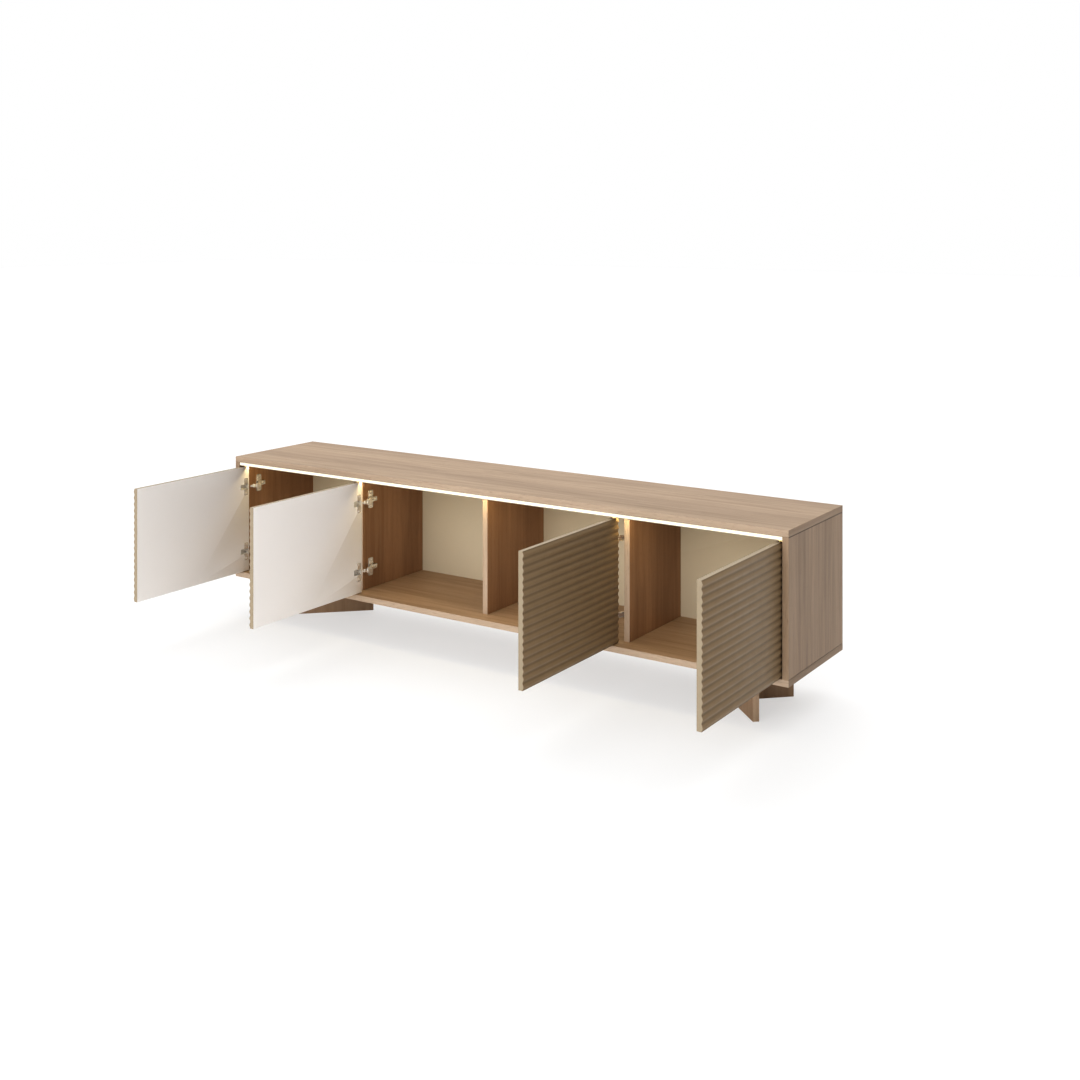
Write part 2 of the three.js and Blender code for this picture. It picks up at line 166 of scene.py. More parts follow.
# Painted shade: a near-black oak for the seams where the sides meet the top and bottom boards, for the
# shade in the grooves there.
joint_shade_tones = ((0.10, 0.065, 0.04), (0.06, 0.038, 0.022), (0.03, 0.02, 0.012))
oak = {
    "X": wood("oak_along_x", "X", *oak_tones, figure=0.4),
    "Y": wood("oak_across_painted_shade", "Y", *shaded_end_tones),
    "Z": wood("oak_upright", "Z", *shaded_end_tones, figure=0.4),
}
edging = {axis: wood("oak_edging_" + axis.lower(), axis, *edging_tones, figure=0.3) for axis in "XYZ"}
shaded_bay_oak = wood("oak_inside_bays_shaded", "Z", *shaded_tones, figure=0.6)
lit_bay_floor_oak = wood("oak_bay_floor_lit", "X", *lit_floor_tones, figure=0.45)
# Painted shade: the sides' front edges take the plain oak tones, darker than the other edging, for the
# shade the open end doors cast on them.
shaded_side_edging = wood("oak_side_edging", "Z", *oak_tones, figure=0.25)
joint_shade_line = wood("oak_joint_line", "Z", *joint_shade_tones)
board_finishes = [*oak.values(), *edging.values(), shaded_bay_oak, lit_bay_floor_oak, shaded_side_edging, joint_shade_line]
upright_seam = 0.0022  # from an upright board's edge to the seam of its edging
level_seam = 0.0009
upright_easing = 0.0011
level_easing = 0.0007


def start_piece():
    """Nothing is selected, so that the next operator works on the new shape alone."""
    if bpy.context.mode != "OBJECT":
        bpy.ops.object.mode_set(mode="OBJECT")
    bpy.ops.object.select_all(action="DESELECT")


def pick(piece, kind, test):
    """In edit mode, selects the faces, edges or vertices whose middle passes the test."""
    bpy.ops.object.mode_set(mode="EDIT")
    bpy.ops.mesh.select_mode(type=kind)
    bpy.ops.mesh.select_all(action="DESELECT")
    bpy.ops.object.mode_set(mode="OBJECT")
    mesh = piece.data
    parts = {"FACE": mesh.polygons, "EDGE": mesh.edges, "VERT": mesh.vertices}[kind]
    for part in parts:
        if kind == "EDGE":
            a, b = (mesh.vertices[i].co for i in part.vertices)
            part.select = bool(test((a + b) / 2, b - a))
        elif kind == "FACE":
            part.select = bool(test(part.center, part.normal))
        else:
            part.select = bool(test(part.co, None))
    bpy.ops.object.mode_set(mode="EDIT")


def settle(piece):
    """Leaves edit mode with the object at the origin and its place in its mesh."""
    if bpy.context.mode != "OBJECT":
        bpy.ops.object.mode_set(mode="OBJECT")
    bpy.ops.object.select_all(action="DESELECT")
    piece.select_set(True)
    bpy.context.view_layer.objects.active = piece
    bpy.ops.object.transform_apply(location=True, rotation=True, scale=True)


def slab(name, low, high):
    """A squared blank between two corners."""
    start_piece()
    low, high = Vector(low), Vector(high)
    bpy.ops.mesh.primitive_cube_add(size=1, location=(low + high) / 2)
    piece = bpy.context.object
    piece.name = piece.data.name = name
    piece.scale = high - low
    settle(piece)
    return piece


def ease_edges(piece, width, segments=2, angle=30):
    """Takes the sharpness off every edge, and shades the flats flat."""
    settle(piece)
    bevel = piece.modifiers.new("eased", "BEVEL")
    bevel.width = width
    bevel.segments = segments
    bevel.limit_method = "ANGLE"
    bevel.angle_limit = math.radians(angle)
    bpy.ops.object.modifier_apply(modifier=bevel.name)
    bpy.ops.object.shade_smooth_by_angle(angle=math.radians(35))


def finish_piece(piece, body, slot, *nodes):
    """Puts a finished piece on its body, in place of the frame's own solids."""
    settle(piece)
    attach(piece, body)
    if nodes:
        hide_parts(*nodes)
    return piece


def face_board(node, grain):
    """A board of the frame's size: a seam round each broad face where the edging meets it, then eased."""
    low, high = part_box(node)
    piece = slab(node + "_board", low, high)
    size = high - low
    thin = min(range(3), key=lambda i: size[i])
    upright = thin == 0
    band = upright_seam if upright else level_seam
    for axis in range(3):
        if axis == thin:
            continue
        for edge in (low[axis] + band, high[axis] - band):
            pick(piece, "FACE", lambda centre, normal: True)
            point, across = [0, 0, 0], [0, 0, 0]
            point[axis], across[axis] = edge, 1
            bpy.ops.mesh.bisect(plane_co=point, plane_no=across)
    ease_edges(piece, upright_easing if upright else level_easing)
    for finish in board_finishes:
        piece.data.materials.append(finish)
    out_side = {"left_side": -1, "right_side": 1}.get(node, 0)
    for face in piece.data.polygons:
        normal, centre = face.normal, face.center
        main = max(range(3), key=lambda i: abs(normal[i]))
        if main == thin:
            at_joint = min(centre.z - low.z, high.z - centre.z, high.y - centre.y) < band
            # Faces towards the bays take the darker inside oak: painted shade.
            if upright and normal.x * out_side <= 0:
                finish = shaded_bay_oak
            # Seam bands along the top, bottom and back of the sides' outer faces take the near-black joint
            # oak: painted shade.
            elif upright and at_joint:
                finish = joint_shade_line
            # The bottom board's top face takes the lighter bay-floor oak: painted light.
            elif node == "bottom_board" and normal.z > 0:
                finish = lit_bay_floor_oak
            # Broad faces: the sides' outer faces get the upright oak, whose darker end tones are painted
            # shade.
            else:
                finish = oak[grain]
        # Bevels between a side's outer face and its top and bottom ends take the near-black joint oak:
        # painted shade.
        elif upright and abs(normal.x) > 0.2 and abs(normal.z) > 0.2:
            finish = joint_shade_line
        # The sides' front edges take the darker side edging: painted shade.
        elif out_side and main == 1:
            finish = shaded_side_edging
        # Edges other than the front and back ones get the across oak, whose darker end tones are painted
        # shade.
        else:
            along = next(i for i in range(3) if i not in (thin, main))
            finish = (edging if main == 1 else oak)["XYZ"[along]]
        face.material_index = board_finishes.index(finish)
    return finish_piece(piece, "carcass", "oak", node)


face_board("bottom_board", "X")
for side in ("left_side", "right_side", "partition_left", "partition_middle", "partition_right"):
    face_board(side, "Z")
face_board("top_board", "X")


# ---------------------------------------------------------------- back panel
# Two halves of 3 mm hardboard stand in a groove all round, cream on the side that faces the bays and
# raw brown behind. A flat plastic strip closes the joint behind the middle partition.
def spotted(name, light, dark, size, roughness, bump=0.1, metallic=0.0):
    """A plain finish with a faint cloudy change of tone and a fine tooth."""
    material = bpy.data.materials.new(name)
    material.use_nodes = True
    nodes, links = material.node_tree.nodes, material.node_tree.links
    shader = nodes["Principled BSDF"]
    shader.inputs["Metallic"].default_value = metallic
    where = nodes.new("ShaderNodeTexCoord")
    cloud = nodes.new("ShaderNodeTexNoise")
    cloud.inputs["Scale"].default_value = size
    cloud.inputs["Detail"].default_value = 4
    tones = nodes.new("ShaderNodeMix")
    tones.data_type = "RGBA"
    tones.inputs["A"].default_value = (*light, 1)
    tones.inputs["B"].default_value = (*dark, 1)
    tooth = nodes.new("ShaderNodeTexNoise")
    tooth.inputs["Scale"].default_value = 2600
    rough = nodes.new("ShaderNodeMapRange")
    rough.inputs["To Min"].default_value = roughness - 0.05
    rough.inputs["To Max"].default_value = roughness + 0.05
    bumps = nodes.new("ShaderNodeBump")
    bumps.inputs["Strength"].default_value = bump
    bumps.inputs["Distance"].default_value = 0.0001
    for noise in (cloud, tooth):
        links.new(where.outputs["Object"], noise.inputs["Vector"])
    links.new(cloud.outputs["Fac"], tones.inputs["Factor"])
    links.new(tones.outputs["Result"], shader.inputs["Base Color"])
    links.new(cloud.outputs["Fac"], rough.inputs["Value"])
    links.new(rough.outputs["Result"], shader.inputs["Roughness"])
    links.new(tooth.outputs["Fac"], bumps.inputs["Height"])
    links.new(bumps.outputs["Normal"], shader.inputs["Normal"])
    return material


cream_face = spotted("back_cream_face", (0.58, 0.51, 0.385), (0.54, 0.475, 0.36), 9, 0.5)
hardboard = spotted("back_raw_hardboard", (0.27, 0.155, 0.08), (0.19, 0.10, 0.05), 60, 0.7, 0.4)
strip_plastic = spotted("back_strip_plastic", (0.75, 0.73, 0.68), (0.70, 0.68, 0.63), 40, 0.45)


def cut_by(piece, tool):
    """Cuts one shape out of another, and throws the cutter away."""
    settle(piece)
    cut = piece.modifiers.new("cut", "BOOLEAN")
    cut.operation = "DIFFERENCE"
    cut.solver = "EXACT"
    cut.object = tool
    bpy.ops.object.modifier_apply(modifier=cut.name)
    bpy.data.objects.remove(tool)


def rod(name, radius, start, end, sides=32):
    """A round blank between two points."""
    start_piece()
    start, end = Vector(start), Vector(end)
    bpy.ops.mesh.primitive_cylinder_add(
        vertices=sides, radius=radius, depth=(end - start).length, location=(start + end) / 2
    )
    piece = bpy.context.object
    piece.name = piece.data.name = name
    piece.rotation_euler = (end - start).to_track_quat("Z", "Y").to_euler()
    settle(piece)
    return piece


inlet_low, inlet_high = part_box("light_inlet")
inlet_middle = (inlet_low + inlet_high) / 2
inlet_hole_radius = 0.0058
hole_overrun = 0.01
for half in ("left", "right"):
    low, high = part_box("back_panel_" + half)
    panel = slab("back_" + half, low, high)
    if half == "right":
        hole_start = (inlet_middle.x, low.y - hole_overrun, inlet_middle.z)
        hole_end = (inlet_middle.x, high.y + hole_overrun, inlet_middle.z)
        cut_by(panel, rod("inlet_hole", inlet_hole_radius, hole_start, hole_end))
    ease_edges(panel, 0.0003)
    panel.data.materials.append(cream_face)
    panel.data.materials.append(hardboard)
    for face in panel.data.polygons:
        face.material_index = 0 if face.normal.y < -0.5 else 1
    finish_piece(panel, "carcass", "back_panel", "back_panel_" + half)

strip_border = 0.0035
strip_hollow = 0.0006  # how far the strip's middle is pressed in
low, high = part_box("back_joint_strip")
strip = slab("back_joint_cover", low, high)
pick(strip, "FACE", lambda centre, normal: normal.y > 0.9)
bpy.ops.mesh.inset(thickness=strip_border)
bpy.ops.transform.translate(value=(0, -strip_hollow, 0))
ease_edges(strip, 0.0003)
strip.data.materials.append(strip_plastic)
finish_piece(strip, "carcass", "joint_strip", "back_joint_strip")


# ---------------------------------------------------------------- doors
# Each door is a 16 mm board with level flutes pressed into its front, painted a dull olive gold. The
# edges show the bare beige face of the board, and the back is smooth white melamine.
gold_paint = spotted("door_olive_gold", (0.232, 0.160, 0.088), (0.206, 0.140, 0.075), 30, 0.46, 0.25)
gold_paint.node_tree.nodes["Principled BSDF"].inputs["Specular IOR Level"].default_value = 0.3
flutes = 18
door_low, door_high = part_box("door_1")
pitch = (door_high.z - door_low.z) / flutes
# Painted shade: the gold is darkened in bands that follow the flute valleys.
nodes, links = gold_paint.node_tree.nodes, gold_paint.node_tree.links
valley_shade_bands = nodes.new("ShaderNodeTexWave")
valley_shade_bands.bands_direction = "Z"
valley_shade_bands.inputs["Scale"].default_value = 2 * math.pi / (20 * pitch)
valley_shade_bands.inputs["Phase Offset"].default_value = -2 * math.pi * door_low.z / pitch
valley_shade_level = nodes.new("ShaderNodeMapRange")
valley_shade_level.inputs["From Max"].default_value = 0.45
valley_shade_level.inputs["To Min"].default_value = 0.74
valley_shade_mix = nodes.new("ShaderNodeMix")
valley_shade_mix.data_type = "RGBA"
valley_shade_mix.blend_type = "MULTIPLY"
valley_shade_mix.inputs["Factor"].default_value = 1
links.new(nodes["Texture Coordinate"].outputs["Object"], valley_shade_bands.inputs["Vector"])
links.new(valley_shade_bands.outputs["Fac"], valley_shade_level.inputs["Value"])
links.new(nodes["Mix"].outputs["Result"], valley_shade_mix.inputs["A"])
links.new(valley_shade_level.outputs["Result"], valley_shade_mix.inputs["B"])
links.new(valley_shade_mix.outputs["Result"], nodes["Principled BSDF"].inputs["Base Color"])
door_edge = spotted("door_beige_edge", (0.36, 0.29, 0.20), (0.32, 0.255, 0.17), 45, 0.55, 0.2)
white_melamine = spotted("door_white_back", (0.86, 0.825, 0.795), (0.84, 0.805, 0.775), 6, 0.42, 0.05)
steps = 12
flute_depth = 0.003
hinge_inset = 0.0675
cup_z = [door_low.z + hinge_inset, door_high.z - hinge_inset]
cup_near, cup_far = 0.005, 0.0395  # from the door's hinge-side end
cup_half_height = 0.00875
cup_corner = 0.0025
pocket_depth = 0.0088
pocket_clearance = 0.0003
past_face = 0.01  # how far a cutting shape stands past the face it goes through


def slot_block(name, start, end, z, grow=0.0):
    """A round-cornered block lying across the door's thickness, where a hinge's narrow cup goes."""
    low = (start, door_high.y - cup_far - grow, z - cup_half_height - grow)
    high = (end, door_high.y - cup_near + grow, z + cup_half_height + grow)
    block = slab(name, low, high)
    pick(block, "EDGE", lambda middle, run: abs(run.x) > 0.0005)
    bpy.ops.mesh.bevel(offset=cup_corner + grow, segments=5, affect="EDGES")
    settle(block)
    return block


def fluted_door():
    """The first door: a fine grid is raised into flutes, row by row, then drawn back to its thickness."""
    start_piece()
    middle = (door_low + door_high) / 2
    valley = door_low.x + flute_depth
    rows = flutes * steps
    bpy.ops.mesh.primitive_grid_add(
        x_subdivisions=rows, y_subdivisions=2, size=1, location=(valley, middle.y, middle.z)
    )
    door = bpy.context.object
    door.rotation_euler = (0, -math.pi / 2, 0)
    door.scale = (door_high.z - door_low.z, door_high.y - door_low.y, 1)
    settle(door)
    row_height = (door_high.z - door_low.z) / rows
    for step in range(1, steps):
        lift = flute_depth * (1 - math.cos(2 * math.pi * step / steps)) / 2
        pick(door, "VERT", lambda co, _: round((co.z - door_low.z) / row_height) % steps == step)
        bpy.ops.transform.translate(value=(-lift, 0, 0))
    pick(door, "FACE", lambda centre, normal: True)
    bpy.ops.mesh.region_to_loop()
    bpy.ops.mesh.extrude_edges_move(TRANSFORM_OT_translate={"value": (0.01, 0, 0)})
    bpy.ops.transform.resize(value=(0, 1, 1), center_override=(door_high.x, 0, 0))
    bpy.ops.mesh.edge_face_add()
    bpy.ops.mesh.select_all(action="SELECT")
    bpy.ops.mesh.normals_make_consistent(inside=False)
    ease_edges(door, 0.0005, 2, 50)
    for finish in (gold_paint, door_edge, white_melamine):
        door.data.materials.append(finish)
    for face in door.data.polygons:
        across = face.normal.x
        rim = max(abs(face.normal.y), abs(face.normal.z)) > 0.9 and abs(across) < 0.3
        face.material_index = 2 if across > 0.6 else (1 if rim else 0)
    for z in cup_z:
        pocket_floor = door_high.x - pocket_depth
        cut_by(door, slot_block("cup_pocket", pocket_floor, door_high.x + past_face, z, pocket_clearance))
    return door


def copy_to(piece, name, place):
    """A copy with its own mesh, moved by a matrix, and turned the right way out where that mirrors it."""
    start_piece()
    twin = piece.copy()
    twin.data = piece.data.copy()
    twin.name = twin.data.name = name
    bpy.context.scene.collection.objects.link(twin)
    twin.matrix_world = place
    settle(twin)
    if place.determinant() < 0:
        bpy.ops.object.mode_set(mode="EDIT")
        bpy.ops.mesh.select_all(action="SELECT")
        bpy.ops.mesh.normals_make_consistent(inside=False)
        bpy.ops.object.mode_set(mode="OBJECT")
    return twin


def beside(number):
    """Moves what is made for the first door to another one. The last two are mirror images."""
    low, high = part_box("door_" + str(number))
    if number <= 2:
        return Matrix.Translation((low.x - door_low.x, 0, 0))
    return Matrix.Translation((high.x + door_low.x, 0, 0)) @ Matrix.Diagonal((-1, 1, 1, 1))


first_door = fluted_door()
for number in range(1, 5):
    door = copy_to(first_door, "fluted_door_" + str(number), beside(number))
    finish_piece(door, "door_" + str(number), "door_front", "door_" + str(number))
bpy.data.objects.remove(first_door)


# ---------------------------------------------------------------- hinges
# Eight concealed hinges of nickel-plated steel: a narrow cup let into the door behind a screwed flange,
# a bent channel arm, a saddled link on the arm's pin, and a cross-shaped plate screwed to the board.
def plated(name, light, dark, roughness):
    """Bright plating with faint rubbing marks and a small change of tone."""
    material = bpy.data.materials.new(name)
    material.use_nodes = True
    nodes, links = material.node_tree.nodes, material.node_tree.links
    shader = nodes["Principled BSDF"]
    shader.inputs["Metallic"].default_value = 1
    where = nodes.new("ShaderNodeTexCoord")
    cloud = nodes.new("ShaderNodeTexNoise")
    cloud.inputs["Scale"].default_value = 500
    cloud.inputs["Detail"].default_value = 5
    tones = nodes.new("ShaderNodeMix")
    tones.data_type = "RGBA"
    tones.inputs["A"].default_value = (*light, 1)
    tones.inputs["B"].default_value = (*dark, 1)
    rough = nodes.new("ShaderNodeMapRange")
    rough.inputs["To Min"].default_value = roughness - 0.03
    rough.inputs["To Max"].default_value = roughness + 0.03
    links.new(where.outputs["Object"], cloud.inputs["Vector"])
    links.new(cloud.outputs["Fac"], tones.inputs["Factor"])
    links.new(cloud.outputs["Fac"], rough.inputs["Value"])
    links.new(tones.outputs["Result"], shader.inputs["Base Color"])
    links.new(rough.outputs["Result"], shader.inputs["Roughness"])
    return material


nickel = plated("hinge_nickel", (0.86, 0.82, 0.75), (0.80, 0.76, 0.69), 0.26)
nickel.node_tree.nodes["Principled BSDF"].inputs["Metallic"].default_value = 0.65
# Painted light: the hollow of each hinge cup is coloured a pale matte grey instead of nickel, so that it
# shows none of the shade inside it.
cup_painted_light = spotted("hinge_cup_lining", (0.66, 0.63, 0.58), (0.58, 0.55, 0.51), 300, 0.5)
# Painted shade: the cross recesses in the screw heads are near black, for the shade inside them.
recess_shade = spotted("screw_recess_painted_shade", (0.05, 0.05, 0.05), (0.03, 0.03, 0.03), 90, 0.6)


def join_into(first, *others):
    """Makes several shapes one piece."""
    start_piece()
    for piece in (*others, first):
        piece.select_set(True)
    bpy.context.view_layer.objects.active = first
    bpy.ops.object.join()
    return first


screw_radius = 0.0036
screw_height = 0.0016
recess_length = 0.0050
recess_width = 0.0012
recess_depth = 0.0009


def screw_head():
    """A flat-topped screw head with a cross recess, standing on the origin along +X."""
    head = rod("screw_head", screw_radius, (0, 0, 0), (screw_height, 0, 0), 20)
    ease_edges(head, 0.0005, 2, 60)
    head.data.materials.append(nickel)
    for wide, tall in ((recess_width, recess_length), (recess_length, recess_width)):
        low = (screw_height - recess_depth, -wide / 2, -tall / 2)
        tool = slab("recess", low, (screw_height + 0.001, wide / 2, tall / 2))
        # The recess faces take the near-black painted shade.
        tool.data.materials.append(recess_shade)
        cut_by(head, tool)
    return head


screw = screw_head()


def put_screw(name, x, y, z):
    return copy_to(screw, name, Matrix.Translation((x, y, z)))


cup_depth = 0.0085
cup_wall = 0.0008
cup_hollow = 0.0088  # from the flange's face down to the floor of the cup
sheet = 0.0012  # the gauge of the flange, the ears and the arm
flange_edge = 0.006  # from the door's hinge-side end
flange_width = 0.017
flange_half_height = 0.029
flange_corner = 0.0035
ear_root = 0.0095  # from the door's hinge-side end
ear_width = 0.0065
ear_offset = 0.0048
ear_height = 0.003
ear_foot = 0.0079
cup_screw_edge = 0.0075
cup_screw_offset = 0.0235


def hinge_cup(z):
    """A pressed cup with its flange, the two ears that take the link, and two screws."""
    back = door_high.x
    bowl = slot_block("bowl", back - cup_depth, back + sheet, z)
    pick(bowl, "FACE", lambda centre, normal: normal.x > 0.9)
    bpy.ops.mesh.inset(thickness=cup_wall)
    bpy.ops.mesh.extrude_region_move(TRANSFORM_OT_translate={"value": (-cup_hollow, 0, 0)})
    ease_edges(bowl, 0.0003, 2, 40)
    edge = door_high.y - flange_edge
    flange_low = (back, edge - flange_width, z - flange_half_height)
    flange = slab("flange", flange_low, (back + sheet, edge, z + flange_half_height))
    pick(flange, "EDGE", lambda middle, run: abs(run.x) > 0.0005)
    bpy.ops.mesh.bevel(offset=flange_corner, segments=4, affect="EDGES")
    settle(flange)
    cut_by(flange, slot_block("mouth", back - 0.004, back + past_face, z, -cup_wall))
    ease_edges(flange, 0.0003, 2, 40)
    parts = [flange]
    for offset in (-ear_offset, ear_offset):
        root = door_high.y - ear_root
        ear_low = (back - ear_foot, root - ear_width, z + offset - sheet / 2)
        ear = slab("ear", ear_low, (back + ear_height, root, z + offset + sheet / 2))
        pick(ear, "EDGE", lambda middle, run: abs(run.z) > 0.0005 and middle.x > back)
        bpy.ops.mesh.bevel(offset=0.002, segments=4, affect="EDGES")
        settle(ear)
        parts.append(ear)
    # The cup's hollow takes the pale painted light.
    bowl.data.materials.append(cup_painted_light)
    for part in parts:
        part.data.materials.append(nickel)
    for offset in (-cup_screw_offset, cup_screw_offset):
        parts.append(put_screw("cup_screw", back + 0.0010, edge - cup_screw_edge, z + offset))
    return join_into(bowl, *parts)


wall = door_low.x - 0.0015  # the mounting face of the first door
front_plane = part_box("top_board")[0].y
pin_setback = 0.0495  # from the front plane
pin_radius = 0.0013
pin_half_length = 0.0078
channel_half_width = 0.0072
nose_start = 0.0465  # the four bends of the arm, from the front plane
crank_start = 0.066
crank_end = 0.084
arm_end = 0.114
arm_rise = 0.0042  # from the pin to the top of the channel
arm_foot = 0.0112  # the arm's rear stretch, above the mounting face
lip_foot = 0.0025  # the lowest reach of the channel's walls, above the mounting face
first_fold = 0.0005  # how far the walls are drawn before they get their own depth
arm_screw_places = (0.0915, 0.1065)
same_place = 1e-5


def hinge_arm(z, pin):
    """The bent top of the channel is drawn edge by edge, then its walls, and then it gets its gauge."""
    crown = [
        (pin + arm_rise, nose_start),
        (pin + arm_rise, crank_start),
        (arm_foot, crank_end),
        (arm_foot, arm_end),
    ]
    lip = [pin - 0.003, pin - 0.009, lip_foot, lip_foot]
    start_piece()
    bpy.ops.mesh.primitive_plane_add(size=1)
    arm = bpy.context.object
    arm.name = arm.data.name = "arm"
    arm.rotation_euler = (0, math.pi / 2, 0)
    arm.scale = (2 * channel_half_width, crown[1][1] - crown[0][1], 1)
    arm.location = (wall + crown[0][0], front_plane + (crown[0][1] + crown[1][1]) / 2, z)
    settle(arm)
    for (u0, y0), (u1, y1) in zip(crown[1:], crown[2:]):
        pick(arm, "EDGE", lambda middle, run: abs(middle.y - front_plane - y0) < same_place)
        bpy.ops.mesh.extrude_edges_move(TRANSFORM_OT_translate={"value": (u1 - u0, y1 - y0, 0)})
    settle(arm)
    for turn in (-1, 1):
        fold = z + turn * channel_half_width
        pick(arm, "EDGE", lambda middle, run: abs(middle.z - fold) < same_place and abs(run.z) < same_place)
        bpy.ops.mesh.extrude_edges_move(TRANSFORM_OT_translate={"value": (-first_fold, 0, 0)})
        settle(arm)
    for (u, y), near in zip(crown, lip):
        under = wall + u - 0.0003
        pick(arm, "VERT", lambda co, _: abs(co.y - front_plane - y) < same_place and co.x < under)
        bpy.ops.transform.translate(value=(near - u + first_fold, 0, 0))
    pick(arm, "FACE", lambda centre, normal: True)
    bpy.ops.mesh.normals_make_consistent(inside=False)
    settle(arm)
    crown_face = max(arm.data.polygons, key=lambda face: face.center.x)
    if crown_face.normal.x < 0:
        arm.data.flip_normals()
    gauge = arm.modifiers.new("gauge", "SOLIDIFY")
    gauge.thickness = sheet
    gauge.offset = -1
    gauge.use_even_offset = True
    bpy.ops.object.modifier_apply(modifier=gauge.name)
    ease_edges(arm, 0.0004, 2, 40)
    arm.data.materials.append(nickel)
    pin_y = front_plane + pin_setback
    pin_start = (wall + pin, pin_y, z - pin_half_length)
    pivot = rod("pivot", pin_radius, pin_start, (wall + pin, pin_y, z + pin_half_length), 20)
    ease_edges(pivot, 0.0003, 2, 60)
    pivot.data.materials.append(nickel)
    crest = wall + arm_foot
    screws = [put_screw("arm_screw", crest, front_plane + place, z) for place in arm_screw_places]
    return join_into(arm, pivot, *screws)


plate_start = 0.079  # from the front plane
plate_length = 0.037
plate_thickness = 0.0022
plate_half_height = 0.029
wing_start, wing_end = 0.001, 0.025  # from the plate's start
rib_start, rib_end = 0.007, 0.035
rib_height = 0.0097
rib_half_width = 0.0056
shoulder_start, shoulder_end = 0.006, 0.020
shoulder_height = 0.0040
shoulder_offset = 0.0135
shoulder_half_height = 0.0055
plate_screw_place = 0.013
plate_screw_offset = 0.0232


def rounded_block(name, low, high, corner, segments):
    """A block whose four edges across the mounting face are rounded."""
    block = slab(name, low, high)
    pick(block, "EDGE", lambda middle, run: abs(run.x) > 0.001)
    bpy.ops.mesh.bevel(offset=corner, segments=segments, affect="EDGES")
    return block


def mounting_plate(z):
    """A flat cross with rounded wings, a pressed step in each wing, a middle rib and two wood screws."""
    start = front_plane + plate_start
    top = wall + plate_thickness
    wing_low = (wall, start + wing_start, z - plate_half_height)
    plate = rounded_block("plate", wing_low, (top, start + wing_end, z + plate_half_height), 0.0055, 5)
    ease_edges(plate, 0.0004, 2, 50)
    spine_low = (wall, start, z - channel_half_width)
    spine = rounded_block("spine", spine_low, (top, start + plate_length, z + channel_half_width), 0.003, 4)
    ease_edges(spine, 0.0004, 2, 50)
    rib_low = (wall + 0.001, start + rib_start, z - rib_half_width)
    rib = slab("rib", rib_low, (wall + rib_height, start + rib_end, z + rib_half_width))
    ease_edges(rib, 0.0006, 2, 50)
    parts = [spine, rib]
    for turn in (-1, 1):
        middle = z + turn * shoulder_offset
        low = (wall + 0.001, start + shoulder_start, middle - shoulder_half_height)
        high = (wall + shoulder_height, start + shoulder_end, middle + shoulder_half_height)
        shoulder = rounded_block("shoulder", low, high, 0.0025, 4)
        ease_edges(shoulder, 0.0008, 3, 50)
        parts.append(shoulder)
    for part in (plate, *parts):
        part.data.materials.append(nickel)
    for turn in (-1, 1):
        place = (wall + 0.0020, start + plate_screw_place, z + turn * plate_screw_offset)
        parts.append(put_screw("plate_screw", *place))
    return join_into(plate, *parts)


saddle_near, saddle_far = 0.0052, 0.0142  # from the arm's pin, along the link
saddle_half_thickness = 0.0019
saddle_half_width = 0.0056


def link_saddle(z, pin, angle):
    """The folded steel round the middle of a link, on the link's own line from the arm's pin."""
    low = (saddle_near, -saddle_half_thickness, z - saddle_half_width)
    saddle = slab("saddle", low, (saddle_far, saddle_half_thickness, z + saddle_half_width))
    pick(saddle, "EDGE", lambda middle, run: abs(run.z) > 0.001)
    bpy.ops.mesh.bevel(offset=0.0012, segments=4, affect="EDGES")
    ease_edges(saddle, 0.0005, 2, 50)
    saddle.data.materials.append(nickel)
    saddle.rotation_euler = (0, 0, math.radians(angle))
    saddle.location = (wall + pin, front_plane + pin_setback, 0)
    settle(saddle)
    return saddle


outer_pin, inner_pin = 0.034, 0.025  # from the mounting face
outer_link_angle, inner_link_angle = 240, 252  # degrees, with the door open
for number in range(1, 5):
    outer = number in (1, 4)
    pin = outer_pin if outer else inner_pin
    link_angle = outer_link_angle if outer else inner_link_angle
    move = beside(number)
    for level, z in zip(("lower", "upper"), cup_z):
        tail = "_%d_%s" % (number, level)
        made = (
            ("cup", hinge_cup, (z,), "door_" + str(number), "hinge_cup" + tail),
            ("arm", hinge_arm, (z, pin), "carcass", "hinge_arm" + tail),
            ("plate", mounting_plate, (z,), "carcass", "mounting_plate" + tail),
        )
        for kind, make, sizes, body, node in made:
            blank = make(*sizes)
            piece = copy_to(blank, "nickel_" + kind + tail, move)
            bpy.data.objects.remove(blank)
            finish_piece(piece, body, "hinge_nickel", node)
        blank = link_saddle(z, pin, link_angle)
        saddle = copy_to(blank, "nickel_link_saddle" + tail, move)
        bpy.data.objects.remove(blank)
        finish_piece(saddle, "links_" + str(number), "hinge_nickel")
        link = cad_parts["hinge_link" + tail]
        link.data.materials.clear()
        link.data.materials.append(nickel)
bpy.data.objects.remove(screw)


# ---------------------------------------------------------------- light strip
# An anodised channel under the front edge of the top board holds a white circuit strip behind a milky
# diffuser. Its thin black lead is clipped under the top board and ends in an inlet in the back panel.
def clothe(node, material):
    """Gives a solid of the frame its finish."""
    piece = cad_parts[node]
    piece.data.materials.clear()
    piece.data.materials.append(material)


